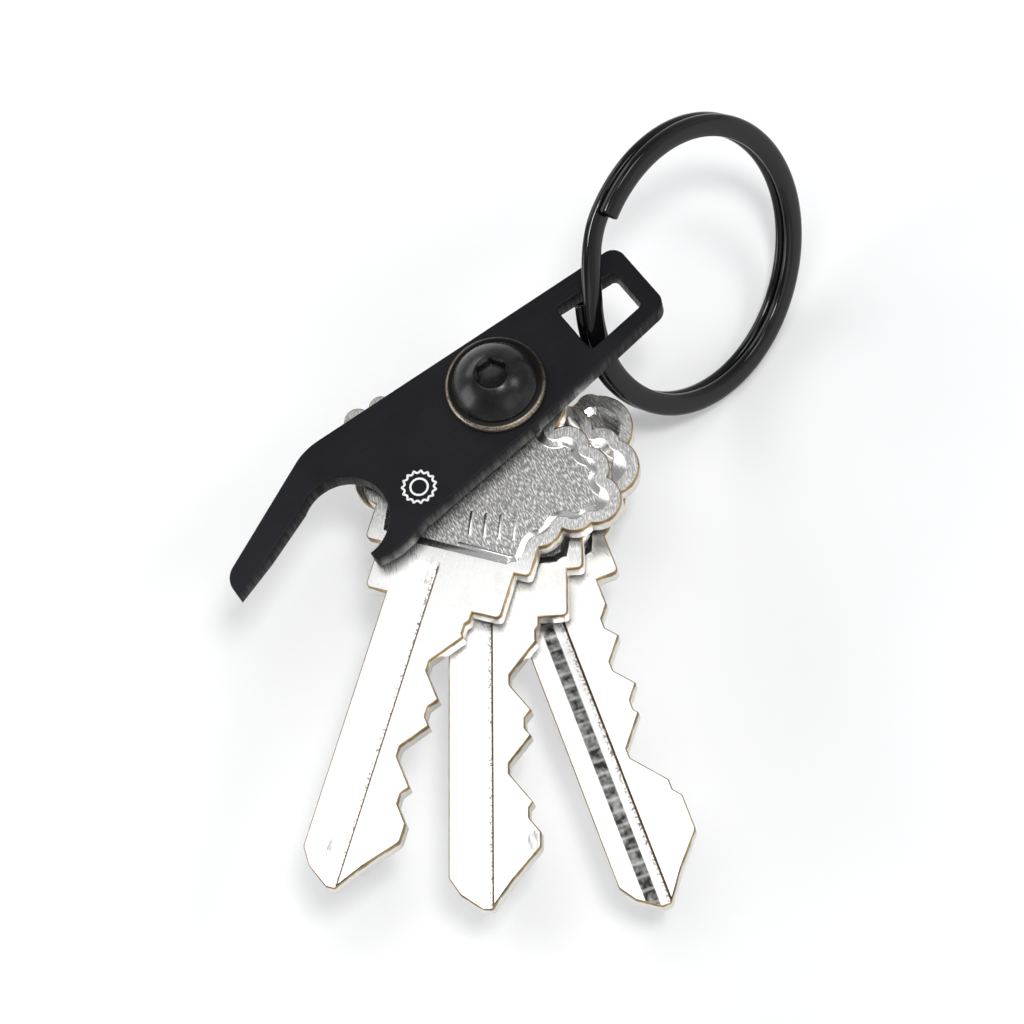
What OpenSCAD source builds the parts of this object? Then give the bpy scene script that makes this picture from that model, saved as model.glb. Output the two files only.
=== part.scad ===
// Keychain bottle opener: a flat opener plate that carries a fan of three keys on a
// pivot screw and a split ring in its end slot.
// The origin is on the pivot axis, at the tail end of the screw. +Z points from the
// nut to the screw head, and +X runs along the plate to its ring end.

/* [Opener plate] */
// Thickness of the plate
plate_t = 2.1; // [1.9:0.1:2.3]
// Distance from the pivot axis to the ring end
plate_end_x = 16.35; // [16:0.05:17]
// Half width of the plate at the pivot axis
plate_half_w = 5.15; // [5:0.05:5.5]
// Narrowing of the upper edge toward the ring end, in mm per mm
upper_taper = 0.064; // [0.05:0.001:0.08]
// Narrowing of the lower edge between the pivot axis and the ring end, in mm per mm
lower_taper = 0.11; // [0.08:0.005:0.115]
// Corner radius at the ring end
plate_corner_r = 1.3; // [0.8:0.1:1.8]

/* [Ring slot] */
// Distance from the pivot axis to the near end of the slot
slot_x = 8.5; // [8:0.1:9]
// Length of the slot
slot_len = 6.1; // [5.8:0.1:6.2]
// Half width of the slot at its near end
slot_half_near = 2.65; // [2.5:0.05:2.8]
// Half width of the slot at its far end
slot_half_far = 2.05; // [1.9:0.05:2.2]

/* [Cap hook] */
// Radius of the round mouth that takes the cap's edge
mouth_r = 4; // [3.8:0.05:4.1]
// Distance from the pivot axis back to the mouth's centre
mouth_back = 17.75; // [17.5:0.05:18]
// Distance of the mouth's centre below the plate's centre line
mouth_drop = 1.45; // [1.3:0.05:1.6]
// Overall reach of the hook arm behind the pivot axis
hook_reach = 29.05; // [28.5:0.05:29.5]
// Slope of the hook arm's outer edge, in degrees
hook_slope = 23.9; // [23:0.1:25]
// Radius of the tooth's underside
tooth_r = 8; // [7:0.1:9]

/* [Pivot hardware, M4] */
// Length of the screw under its head
screw_len = 20; // [20:1:22]
// Thread diameter
screw_d = 4; // [4:0.1:4]
// Diameter of the button head
head_d = 7.6; // [7:0.1:8]
// Height of the button head
head_h = 2.2; // [2:0.1:2.4]
// Size of the hexagon socket across its flats
socket_af = 2.5; // [2.5:0.1:3]
// Depth of the hexagon socket
socket_depth = 1.3; // [1.1:0.1:1.4]
// Outer diameter of the front and rear washers
washer_d = 9; // [8.5:0.1:10]
// Thickness of the front and rear washers
washer_t = 0.8; // [0.7:0.1:0.9]
// Size of the lock nut across its flats
nut_af = 7; // [7:0.1:7.5]
// Height of the lock nut
nut_h = 5; // [4.5:0.1:5]

/* [Keys] */
// Thickness of each key
key_t = 1.9; // [1.8:0.05:1.9]
// Room that each key has on the sleeve
key_bay = 2; // [2:0.05:2.1]
// Thickness of the washers between the keys
thrust_t = 0.5; // [0.4:0.05:0.6]
// Outer diameter of the sleeve that the keys turn on
sleeve_d = 6; // [5.8:0.1:6.2]
// Radial running clearance of a key on the sleeve
key_clearance = 0.05; // [0.03:0.01:0.08]
// Distance from the pivot axis to the tip of the upper key
key_reach = 46; // [44:0.5:48]
// Height of a blade, from its back to the tops of its teeth
blade_h = 7.9; // [7.6:0.1:8.4]
// Depth of the sunk panel on each face of the head
panel_depth = 0.32; // [0.2:0.01:0.4]
// Width of the raised rim round that panel
rim_w = 1.35; // [1.2:0.05:1.6]

/* [Split ring] */
// Outer diameter of the ring
ring_d = 27.8; // [27:0.1:28]
// Radial width of the flattened wire
wire_w = 2.05; // [1.9:0.05:2.1]
// Thickness of the wire along the ring's axis
wire_t = 1.05; // [0.9:0.05:1.05]
// Angle of the stretch where the wire steps from one turn to the other
step_angle = 36; // [30:1:40]
// Angle round the ring of the middle of that stretch, from the ring's lowest point
step_at = -145.5; // [-180:0.5:180]

/* [Hidden] */
$fn = 64;

// Cutters run this far past the faces that they cut
over = 1;
// Bodies that are joined overlap by this much
merge = 0.1;
// Circles of fillets are this much too large, so that they cross the edges they round
fillet_excess = 0.005;
plate_black = [0.09, 0.09, 0.10];
steel_black = [0.16, 0.15, 0.15];
nickel = [0.80, 0.79, 0.74];

// Heights of the stack, from the screw's tail up
plate_top = screw_len - washer_t;
plate_bottom = plate_top - plate_t;
pitch = key_bay + thrust_t;
sleeve_len = 3 * pitch + thrust_t;
sleeve_bottom = plate_bottom - sleeve_len;
nut_top = sleeve_bottom - washer_t;
nut_bottom = nut_top - nut_h;
// Play of the screw in the plate's hole, in the washers and in the sleeve, on the diameter
screw_play = 0.3;
sleeve_play = 0.1;

// Hook arm: the corners of its slanting inner edge, and the radii of its shoulder and tip
inner_edge = [[-18.5, 2.4], [-24.95, 0.02], [-hook_reach, -1.2]];
shoulder_r = 6;
arm_tip_r = 1.9;
// Length along X of the arm's slanting outer edge, and the line that its blank ends on
arm_run = 12.45;
arm_inner_y = -2;
// Slope of the plate's lower edge behind the pivot axis, in mm per mm, and where it ends
hook_taper = 0.071;
heel_x = -12;
// Lowest point of the tooth: from the mouth's centre, and below the line of the lower edge
tooth_set = [2.35, 0.36];
// Corner of the tooth at the mouth, its rounding and the slope of its underside there
tooth_side = [-mouth_back, -6.38];
tooth_side_r = 0.6;
tooth_side_slope = -0.31;

// Lock nut: the plain collar, the groove in it and the insert that fills the groove
collar_h = 1.5;
collar_d = 6.2;
insert_d = 5.2;
insert_h = 1.1;
insert_lip = 0.2;
lip_reach = 0.2;
nut_bevel = [0.6, 0.35];

// Each key: its angle, its length beyond the upper key's, and how far its pivot hole
// is off its centre line
key_angles = [-143.4, -126.2, -106.9];
key_extra = [0, -0.6, 0.8];
key_offsets = [-0.3, -0.85, -1.6];
// Each key's cut depths, from the neck to the tip
key_cuts = [[0.3, 2.3, 1.2, 2.5, 1.2], [0.3, 2.6, 1.3, 2.7, 1.0], [0.9, 1.6, 1.2, 3.0, 0.6]];
first_cut_x = 21.4;
cut_pitch = 3.95;
cut_flat = 0.9;
cut_flare = 1.25;
// Steps of each key's neck: [end, half width]
wide_neck = [[15.5, 7.6], [19.8, 6.2]];
slim_neck = [[17.4, 5.7]];
neck_start = 9;
// How far the blade's centre line lies on the back side of the neck's
blade_set = 0.3;
blade_start = 16;
// Corners of the blade's tip: [distance short of the end, height above the blade's back]
blade_tip = [[2.8, 0], [1.3, 1], [0, 2.9], [0, 3.7], [2.6, 5.6]];
tip_ramp = 5.2;
// Where the long grooves of the blade start, beyond the first step of the neck
groove_gap = 0.7;

// Lobes along one side of a key's head, as seen from its centre line: [x, y, radius]
upper_front = [[3.2, 7.3, 2.1], [4.7, 9.5, 2.15], [7.2, 11.2, 2.25], [8.6, 9.6, 2.0], [10.6, 6.9, 2.2]];
upper_back = [[2.0, 6.9, 1.9], [3.3, 10.06, 1.05], [5.07, 11.67, 1.22], [7.4, 10.9, 1.9], [10.2, 7.2, 2.1]];
middle_sides = [[2.46, 6.32, 2.4], [4.14, 9.32, 1.85], [6.12, 10.05, 2.7], [9.4, 8.4, 2.0], [11.2, 6.2, 2.0]];
lower_sides = [[1.6, 8.8, 1.2], [3.9, 8.7, 3.2], [7.8, 8.3, 2.2], [10.4, 6.8, 2.0], [12.0, 5.0, 1.8]];
boss_r = 6.1;
// Raised ring round the pivot hole, and where the sunk panel ends
hub_rim = 1.3;
panel_end_x = 14.6;

// Split ring: the middle of its wire, its place and how it lies
ring_mean_r = (ring_d - wire_w) / 2;
turn_pitch = wire_t + 0.02;
// The step is this much thinner all round, so that it ends inside both turns
step_thin = 0.06;
ring_centre = [21.76, 0.92, 12.66];
ring_lean = 62.6;
ring_heading = -70;

function unit(v) = v / norm(v);
function upper_edge(x) = plate_half_w - upper_taper * x;
function lower_edge(x) = -plate_half_w + (x > 0 ? lower_taper : hook_taper) * x;

// The sliver that a fillet of radius r takes off the corner p between a and b. The
// fillet's circle is a little too large, so that it crosses both edges at a small angle
module corner_sliver(a, p, b, r) {
    u = unit(a - p);
    v = unit(b - p);
    half = acos(u * v) / 2;
    centre = p + unit(u + v) * r / sin(half);
    difference() {
        polygon([p - unit(u + v) * r, p + u * r / tan(half), centre, p + v * r / tan(half)]);
        translate(centre) circle(r + fillet_excess);
    }
}

module disc(d, bore, z, h) {
    translate([0, 0, z]) difference() {
        cylinder(d = d, h = h);
        translate([0, 0, -over]) cylinder(d = bore, h = h + 2 * over);
    }
}

// ---- Opener plate ----

module ring_slot() {
    far = slot_x + slot_len;
    corner_r = 0.45;
    corners = [
        [slot_x, slot_half_near], [far, slot_half_far],
        [far, -slot_half_far], [slot_x, -slot_half_near]
    ];
    difference() {
        polygon(corners);
        for (i = [0 : 3])
            corner_sliver(corners[(i + 3) % 4], corners[i], corners[(i + 1) % 4], corner_r);
    }
}

// The outline before the mouth and the slot are cut out of it
module plate_body() {
    slope = tan(hook_slope);
    arm_tip_y = upper_edge(-mouth_back) - arm_run * slope;
    shoulder_x = -(hook_reach * slope - plate_half_w + arm_tip_y) / (slope + upper_taper);
    shoulder = [shoulder_x, upper_edge(shoulder_x)];
    tip = [-hook_reach, arm_tip_y];
    arm_foot = [-hook_reach, arm_inner_y];
    top = [plate_end_x, upper_edge(plate_end_x)];
    bottom = [plate_end_x, lower_edge(plate_end_x)];
    waist = [0, lower_edge(0)];
    heel = [heel_x, lower_edge(heel_x)];
    tooth_x = -mouth_back + tooth_set.x;
    tooth_y = lower_edge(tooth_x) - tooth_set.y;
    difference() {
        union() {
            polygon([top, shoulder, tip, arm_foot, [-mouth_back, arm_inner_y], heel, waist, bottom]);
            intersection() {
                translate([tooth_x, tooth_y + tooth_r]) circle(tooth_r, $fn = 128);
                translate([-mouth_back, tooth_y - over])
                    square([heel_x + over + mouth_back, arm_inner_y - tooth_y + over]);
            }
        }
        corner_sliver(tip, shoulder, top, shoulder_r);
        corner_sliver(shoulder, tip, arm_foot, arm_tip_r);
        corner_sliver(shoulder, top, bottom, plate_corner_r);
        corner_sliver(top, bottom, waist, plate_corner_r);
        corner_sliver(
            tooth_side + [0, 1], tooth_side, tooth_side + [1, tooth_side_slope], tooth_side_r
        );
    }
}

// The round mouth, and the open side between it and the end of the arm
module mouth() {
    open_y = -8;
    outside = [-hook_reach - 3, -2.1];
    tuck = 0.02;
    translate([-mouth_back, -mouth_drop]) circle(mouth_r);
    polygon(concat(
        [[-mouth_back, open_y], [-mouth_back, mouth_r - mouth_drop - tuck]],
        inner_edge,
        [outside, [outside.x, open_y]]
    ));
}

module opener_plate() {
    color(plate_black) translate([0, 0, plate_bottom]) linear_extrude(plate_t) difference() {
        plate_body();
        mouth();
        ring_slot();
        circle(d = screw_d + screw_play);
    }
}

// ---- Pivot hardware ----

module button_screw() {
    // The dome's arc runs from the head's edge to the flat round the socket
    edge = [head_d / 2, 0.25];
    flat_r = 1.55;
    arc_z = (edge.x * edge.x + edge.y * edge.y - flat_r * flat_r - head_h * head_h)
        / (2 * (edge.y - head_h));
    arc_r = norm(edge - [0, arc_z]);
    thread_tip = 0.5;
    color(steel_black) difference() {
        union() {
            translate([0, 0, screw_len]) intersection() {
                cylinder(d = head_d, h = head_h);
                translate([0, 0, arc_z]) sphere(arc_r);
            }
            translate([0, 0, thread_tip]) cylinder(d = screw_d, h = screw_len - thread_tip);
            rotate_extrude() polygon([
                [0, 0], [screw_d / 2 - thread_tip, 0], [screw_d / 2, thread_tip],
                [0, thread_tip]
            ]);
        }
        translate([0, 0, screw_len + head_h - socket_depth])
            cylinder(d = socket_af / cos(30), h = socket_depth + over, $fn = 6);
    }
}

module front_washer() {
    color(steel_black) disc(washer_d, screw_d + screw_play, plate_top, washer_t);
}

module pivot_sleeve() {
    color("silver") disc(sleeve_d, screw_d + sleeve_play, sleeve_bottom, sleeve_len);
}

module thrust_washer(i) {
    color("silver") disc(washer_d, sleeve_d, plate_bottom - thrust_t - i * pitch, thrust_t);
}

module rear_washer() {
    color(steel_black) disc(washer_d, screw_d + screw_play, nut_top, washer_t);
}

module lock_nut() {
    hex_h = nut_h - collar_h;
    flat_r = nut_af / 2;
    color(steel_black) difference() {
        union() {
            intersection() {
                translate([0, 0, nut_bottom + collar_h])
                    cylinder(d = nut_af / cos(30), h = hex_h, $fn = 6);
                // The hexagon's corners are turned off at both ends
                translate([0, 0, nut_bottom + collar_h]) rotate_extrude() polygon([
                    [0, 0], [flat_r, 0], [flat_r + nut_bevel.x, nut_bevel.y],
                    [flat_r + nut_bevel.x, hex_h - nut_bevel.y], [flat_r, hex_h], [0, hex_h]
                ]);
            }
            translate([0, 0, nut_bottom]) cylinder(d = collar_d, h = collar_h + merge);
        }
        translate([0, 0, nut_bottom - over]) cylinder(d = screw_d, h = nut_h + 2 * over);
        translate([0, 0, nut_bottom + insert_lip]) cylinder(d = insert_d, h = insert_h);
        translate([0, 0, nut_bottom - over])
            cylinder(d = insert_d - 2 * lip_reach, h = over + insert_lip + merge);
    }
}

module nylon_insert() {
    color("royalblue") disc(insert_d, screw_d, nut_bottom + insert_lip, insert_h);
}

// ---- Keys ----

// A head outline, drawn in from its edge by inset; its front lobes are on the toothed side
module head_outline(front, back, inset) {
    circle(boss_r - inset);
    for (lobe = front) if (lobe.z > inset) translate([lobe.x, lobe.y]) circle(lobe.z - inset);
    for (lobe = back) if (lobe.z > inset) translate([lobe.x, -lobe.y]) circle(lobe.z - inset);
    polygon(concat(
        [for (lobe = front) [lobe.x, lobe.y]],
        [for (i = [len(back) - 1 : -1 : 0]) [back[i].x, -back[i].y]]
    ));
}

module neck_outline(neck) {
    for (part = neck) translate([neck_start, -part.y]) square([part.x - neck_start, 2 * part.y]);
}

module blade_outline(cuts, reach) {
    back = -blade_h / 2 - blade_set;
    teeth = blade_h / 2 - blade_set;
    difference() {
        polygon(concat(
            [[blade_start, back]],
            [for (corner = blade_tip) [reach - corner.x, back + corner.y]],
            [[reach - tip_ramp, teeth], [blade_start, teeth]]
        ));
        for (i = [0 : len(cuts) - 1]) {
            x = first_cut_x + i * cut_pitch;
            half = cut_flat / 2;
            flare = half + (cuts[i] + over) * cut_flare;
            polygon([
                [x - half, teeth - cuts[i]], [x + half, teeth - cuts[i]],
                [x + flare, teeth + over], [x - flare, teeth + over]
            ]);
        }
    }
}

// The long grooves milled in both faces of the blade, from start to past the tip
module blade_grooves(start, reach) {
    wall_y = -0.45;
    wall_depth = 0.55;
    fade_y = -2.6;
    // On the front one wall stands upright and the floor rises away from it
    translate([start, 0, key_t]) rotate([90, 0, 90]) linear_extrude(reach - start + over)
        polygon([
            [wall_y, over], [wall_y, -wall_depth], [fade_y, 0], [fade_y, over]
        ]);
    // On the back there are two square ones: [side, width, depth]
    for (groove = [[0.9, 1.1, 0.6], [-2.9, 1.0, 0.5]])
        translate([start, groove.x, -over]) cube([reach - start + over, groove.y, over + groove.z]);
}

// The sunk panel: the head and the start of its neck, less the rim
module head_panel(front, back, neck) {
    half = neck[0].y - rim_w;
    behind = 10;
    beside = 15;
    intersection() {
        union() {
            head_outline(front, back, rim_w);
            translate([neck_start - 1, -half]) square([neck[0].x - neck_start, 2 * half]);
        }
        translate([-behind, -beside]) square([panel_end_x + behind, 2 * beside]);
    }
}

module key(i, front, back, neck) {
    shift = [0, key_offsets[i]];
    reach = key_reach + key_extra[i];
    z = plate_bottom - thrust_t - i * pitch - (key_bay + key_t) / 2;
    color(nickel) translate([0, 0, z]) rotate(key_angles[i]) difference() {
        union() {
            linear_extrude(key_t) translate(shift) head_outline(front, back, 0);
            linear_extrude(key_t) translate(shift) {
                neck_outline(neck);
                blade_outline(key_cuts[i], reach);
            }
        }
        for (face_z = [-over, key_t - panel_depth])
            translate([0, 0, face_z]) linear_extrude(over + panel_depth) difference() {
                translate(shift) head_panel(front, back, neck);
                circle(d = sleeve_d + 2 * hub_rim);
            }
        translate(shift) blade_grooves(neck[0].x + groove_gap, reach);
        translate([0, 0, -over]) cylinder(d = sleeve_d + 2 * key_clearance, h = key_t + 2 * over);
    }
}

// ---- Split ring ----

module wire_profile(thin) {
    square([wire_w - wire_t, wire_t - 2 * thin], center = true);
    for (side = [-1, 1])
        translate([side * (wire_w - wire_t) / 2, 0]) circle(d = wire_t - 2 * thin);
}

module wire_arc(start, sweep, thin) {
    rotate(start) rotate_extrude(angle = sweep) translate([ring_mean_r, 0]) wire_profile(thin);
}

// Two turns of wire, joined by the stretch that steps from the lower to the upper turn
module split_ring() {
    rise = asin(turn_pitch / 2 / (ring_mean_r * sin(step_angle / 2)));
    color(plate_black) translate(ring_centre) rotate([0, ring_lean, ring_heading]) rotate(step_at) {
        for (side = [-1, 1]) translate([0, 0, side * turn_pitch / 2])
            wire_arc(step_angle / 2, 360 - step_angle, 0);
        rotate([rise, 0, 0]) wire_arc(-step_angle / 2 - 0.5, step_angle + 1, step_thin);
    }
}

opener_plate();
button_screw();
front_washer();
pivot_sleeve();
thrust_washer(0);  // thrust_washer_1
thrust_washer(1);  // thrust_washer_2
thrust_washer(2);  // thrust_washer_3
thrust_washer(3);  // thrust_washer_4
key(0, upper_front, upper_back, wide_neck);  // key_upper
key(1, middle_sides, middle_sides, wide_neck);  // key_middle
key(2, lower_sides, lower_sides, slim_neck);  // key_lower
rear_washer();
lock_nut();
nylon_insert();
split_ring();
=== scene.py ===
"""Looks of the keychain bottle opener: finer meshes, surface finishes, light and camera.

The lengths below are in millimetres in the part's own frame; the meshes are built in metres.
"""

import math

import bmesh
import bpy
import numpy as np
from mathutils import Matrix, Vector
from mathutils.geometry import delaunay_2d_cdt


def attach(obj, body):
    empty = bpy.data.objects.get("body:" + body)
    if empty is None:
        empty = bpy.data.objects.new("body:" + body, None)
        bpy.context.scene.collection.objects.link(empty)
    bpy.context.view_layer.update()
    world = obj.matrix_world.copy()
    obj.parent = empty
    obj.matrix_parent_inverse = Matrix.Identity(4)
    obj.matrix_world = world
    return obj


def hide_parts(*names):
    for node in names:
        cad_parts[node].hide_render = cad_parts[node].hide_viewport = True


MM = 0.001

# ---------------------------------------------------------------- sizes of the CAD part
PLATE_TOP, PLATE_BOTTOM = 19.2, 17.1
WASHER_R, WASHER_TOP = 4.5, 20.0
HEAD_R, HEAD_TOP, HEAD_EDGE, HEAD_FLAT_R = 3.8, 22.2, 0.25, 1.55
HEAD_H = HEAD_TOP - WASHER_TOP
SOCKET_AF, SOCKET_DEPTH = 2.5, 1.3
SCREW_R, SCREW_PITCH, THREAD_DEPTH = 2.0, 0.7, 0.4
SLEEVE_BOTTOM, SLEEVE_R = 9.1, 3.0
NUT_TOP, NUT_BOTTOM, NUT_AF = 8.3, 3.3, 7.0
COLLAR_H, COLLAR_R = 1.5, 3.1
INSERT_R, INSERT_BOTTOM, INSERT_H = 2.6, 3.5, 1.1
KEY_T, BLADE_H, RIM_W, PANEL_DEPTH = 1.9, 7.9, 1.35, 0.32
HUB_R, KEY_HOLE_R, BOSS_R = 4.3, 3.05, 6.1
RING_MEAN_R, WIRE_W, WIRE_T, TURN_PITCH = 12.875, 2.05, 1.05, 1.07
RING_CENTRE, RING_LEAN, RING_HEADING = (21.76, 0.92, 12.66), 62.6, -70.0
STEP_AT, STEP_ANGLE = -145.5, 36.0

# Per key, in its own axes with X along the blade: where it lies, then the lobes of its head as
# (x, side, radius), its shoulders as (end, half width), the depths of its cuts and its marks
KEYS = {
    "key_upper": {
        "body": "upper_key", "angle": -143.4, "offset": -0.3, "reach": 46.0, "z": 14.65,
        "front": [
            (3.2, 7.3, 2.1), (4.7, 9.5, 2.15), (7.2, 11.2, 2.25), (8.6, 9.6, 2.0), (10.6, 6.9, 2.2),
        ],
        "back": [
            (2.0, 6.9, 1.9), (3.3, 10.06, 1.05), (5.07, 11.67, 1.22), (7.4, 10.9, 1.9), (10.2, 7.2, 2.1),
        ],
        "neck": [(15.5, 7.6), (19.8, 6.2)],
        "cuts": [0.3, 2.3, 1.2, 2.5, 1.2],
        "stains": [(17.8, -1.25, 2.2, 0.75), (43.0, -2.05, 3.0, 0.8)],
    },
    "key_middle": {
        "body": "middle_key", "angle": -126.2, "offset": -0.85, "reach": 45.4, "z": 12.15,
        "front": [
            (2.46, 6.32, 2.4), (4.14, 9.32, 1.85), (6.12, 10.05, 2.7), (9.4, 8.4, 2.0), (11.2, 6.2, 2.0),
        ],
        "neck": [(15.5, 7.6), (19.8, 6.2)],
        "cuts": [0.3, 2.6, 1.3, 2.7, 1.0],
        "stains": [(39.4, 2.9, 2.4, 1.3)],
    },
    "key_lower": {
        "body": "lower_key", "angle": -106.9, "offset": -1.6, "reach": 46.8, "z": 9.65,
        "front": [(1.6, 8.8, 1.2), (3.9, 8.7, 3.2), (7.8, 8.3, 2.2), (10.4, 6.8, 2.0), (12.0, 5.0, 1.8)],
        "neck": [(17.4, 5.7)],
        "cuts": [0.9, 1.6, 1.2, 3.0, 0.6],
        "stains": [],
        "band": (-2.6, -1.35),
    },
}

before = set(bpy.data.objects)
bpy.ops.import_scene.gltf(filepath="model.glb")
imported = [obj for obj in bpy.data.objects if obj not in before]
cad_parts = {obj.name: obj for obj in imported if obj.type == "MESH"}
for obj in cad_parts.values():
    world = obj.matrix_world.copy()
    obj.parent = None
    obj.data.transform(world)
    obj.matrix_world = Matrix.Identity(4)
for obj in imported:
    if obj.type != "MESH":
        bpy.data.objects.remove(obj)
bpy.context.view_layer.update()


# ---------------------------------------------------------------- material helpers
class Nodes:
    """A node tree with short names for what the finishes below need."""

    def __init__(self, name):
        self.material = bpy.data.materials.new(name)
        self.material.use_nodes = True
        self.tree = self.material.node_tree
        self.tree.nodes.clear()
        self.shader = self.tree.nodes.new("ShaderNodeBsdfPrincipled")
        out = self.tree.nodes.new("ShaderNodeOutputMaterial")
        self.link(self.shader.outputs[0], out.inputs[0])
        self.coords = self.tree.nodes.new("ShaderNodeTexCoord").outputs["Object"]

    def link(self, a, b):
        self.tree.links.new(a, b)

    def give(self, socket, value):
        """Fills a socket with another node's output, a colour or a number."""
        if hasattr(value, "links"):
            self.link(value, socket)
        else:
            socket.default_value = (*value, 1.0) if isinstance(value, tuple) else value

    def set(self, **values):
        for key, value in values.items():
            self.give(self.shader.inputs[key.replace("_", " ")], value)

    def mapped(self, scale, turn=(0.0, 0.0, 0.0)):
        node = self.tree.nodes.new("ShaderNodeMapping")
        node.inputs["Scale"].default_value = scale
        node.inputs["Rotation"].default_value = [math.radians(a) for a in turn]
        self.link(self.coords, node.inputs["Vector"])
        return node.outputs[0]

    def noise(self, scale, heading=0.0, detail=3.0, rough=0.5):
        """Noise with this many grains a millimetre along each axis, its first axis at heading."""
        node = self.tree.nodes.new("ShaderNodeTexNoise")
        node.inputs["Scale"].default_value = 1.0
        node.inputs["Detail"].default_value = detail
        node.inputs["Roughness"].default_value = rough
        scale = scale if isinstance(scale, tuple) else (scale,) * 3
        # The turn is made before the stretch, so the streaks run along the heading
        turned = self.mapped((1.0, 1.0, 1.0), (0.0, 0.0, -heading))
        stretch = self.tree.nodes.new("ShaderNodeMapping")
        stretch.inputs["Scale"].default_value = [s / MM for s in scale]
        self.link(turned, stretch.inputs["Vector"])
        self.link(stretch.outputs[0], node.inputs["Vector"])
        return node.outputs["Fac"]

    def ramp(self, value, low, high, start=0.0, end=1.0):
        node = self.tree.nodes.new("ShaderNodeMapRange")
        for socket, number in (("From Min", low), ("From Max", high), ("To Min", start), ("To Max", end)):
            node.inputs[socket].default_value = number
        self.link(value, node.inputs["Value"])
        return node.outputs["Result"]

    def math(self, operation, a, b=0.0):
        node = self.tree.nodes.new("ShaderNodeMath")
        node.operation = operation
        for socket, value in zip(node.inputs, (a, b)):
            self.give(socket, value)
        return node.outputs[0]

    def mix(self, fac, a, b):
        node = self.tree.nodes.new("ShaderNodeMix")
        node.data_type = "RGBA"
        self.give(node.inputs[0], fac)
        for socket, value in zip([s for s in node.inputs if s.type == "RGBA"], (a, b)):
            self.give(socket, value)
        return [s for s in node.outputs if s.type == "RGBA"][0]

    def bump(self, height, depth_mm, strength=1.0, under=None):
        node = self.tree.nodes.new("ShaderNodeBump")
        node.inputs["Strength"].default_value = strength
        node.inputs["Distance"].default_value = depth_mm * MM
        self.link(height, node.inputs["Height"])
        if under is not None:
            self.link(under, node.inputs["Normal"])
        return node.outputs[0]

    def xyz(self):
        """The piece's own coordinates in millimetres."""
        node = self.tree.nodes.new("ShaderNodeSeparateXYZ")
        self.link(self.coords, node.inputs[0])
        return [self.math("MULTIPLY", o, 1 / MM) for o in node.outputs]

    def length(self, a, b):
        squares = [self.math("MULTIPLY", v, v) for v in (a, b)]
        return self.math("SQRT", self.math("ADD", *squares))


def plate_face():
    n = Nodes("plate_face")
    streaks = n.noise((0.25, 7.0, 7.0), -4.0)
    grain = n.noise(14.0, detail=2.0)
    patch = n.noise(0.22, detail=3.0)
    x, y, _ = n.xyz()
    radius = n.length(x, y)
    witness = n.math("SINE", n.math("MULTIPLY", radius, 9.0))
    near = n.ramp(radius, 4.6, 6.6, 1.0, 0.0)
    rings = n.math("MULTIPLY", n.math("MULTIPLY", n.ramp(witness, 0.6, 1.0), near), 0.12)
    tone = n.math("ADD", n.ramp(streaks, 0.35, 0.75, 0.0, 0.45), n.ramp(patch, 0.4, 0.7, 0.0, 0.4))
    tone = n.math("ADD", n.math("ADD", tone, rings), n.ramp(x, -17.0, -30.0, 0.0, 1.6))
    n.set(
        Base_Color=n.mix(tone, (0.003, 0.003, 0.0048), (0.0085, 0.0085, 0.0125)),
        Metallic=0.1,
        Roughness=n.ramp(grain, 0.3, 0.7, 0.40, 0.52),
        Specular_IOR_Level=0.2,
        Normal=n.bump(streaks, 0.004, 0.6, n.bump(grain, 0.003, 0.5)),
    )
    return n.material


def plate_wall():
    n = Nodes("plate_wall")
    streaks = n.noise((5.0, 5.0, 0.12), detail=2.0)
    coarse = n.noise((1.6, 1.6, 0.05), detail=1.0)
    both = n.math("ADD", n.math("MULTIPLY", streaks, 0.65), n.math("MULTIPLY", coarse, 0.35))
    n.set(
        Base_Color=n.mix(n.ramp(both, 0.5, 0.64), (0.002, 0.002, 0.0025), (0.017, 0.016, 0.013)),
        Specular_IOR_Level=0.09,
        Roughness=n.ramp(both, 0.4, 0.6, 0.5, 0.34),
        Normal=n.bump(both, 0.05, 1.0),
    )
    return n.material


def etched_white():
    n = Nodes("etched_white")
    grain = n.noise(9.0)
    n.set(
        Base_Color=n.mix(grain, (0.66, 0.66, 0.65), (0.9, 0.9, 0.89)),
        Roughness=0.7,
        Normal=n.bump(grain, 0.004),
    )
    return n.material


def black_oxide(name, tint=(0.012, 0.011, 0.011), rough=(0.24, 0.38)):
    n = Nodes(name)
    grain = n.noise(7.0, detail=4.0)
    patch = n.noise(0.7, detail=2.0)
    lighter = tuple(c * 2.2 + 0.004 for c in tint)
    n.set(
        Base_Color=n.mix(n.ramp(patch, 0.35, 0.7), tint, lighter),
        Metallic=0.55,
        Roughness=n.ramp(grain, 0.3, 0.7, *rough),
        Normal=n.bump(grain, 0.004, 0.5),
    )
    return n.material


def washer_steel():
    n = Nodes("washer_steel")
    x, y, _ = n.xyz()
    radius = n.length(x, y)
    # Rim worn to bare steel, with a painted highlight: the bare colour is strongest towards -X and -Y and
    # fades to about a fifth on the far side
    rim_wear_and_highlight = n.ramp(radius, 4.14, 4.3)
    side = n.math("ADD", n.math("MULTIPLY", x, -0.75), n.math("MULTIPLY", y, -0.65))
    rim_wear_and_highlight = n.math("MULTIPLY", rim_wear_and_highlight, n.ramp(side, -2.0, 3.2, 0.22, 1.0))
    grain = n.noise(6.0, detail=4.0)
    turned = n.math("SINE", n.math("MULTIPLY", radius, 46.0))
    rim_wear_and_highlight = n.math("MULTIPLY", rim_wear_and_highlight, n.ramp(grain, 0.38, 0.55, 0.35, 1.0))
    n.set(
        Base_Color=n.mix(rim_wear_and_highlight, (0.012, 0.011, 0.0105), (0.34, 0.28, 0.22)),
        Metallic=0.85,
        Roughness=n.ramp(grain, 0.3, 0.7, 0.26, 0.4),
        Normal=n.bump(turned, 0.0015, 0.5, n.bump(grain, 0.004, 0.5)),
    )
    return n.material


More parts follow.
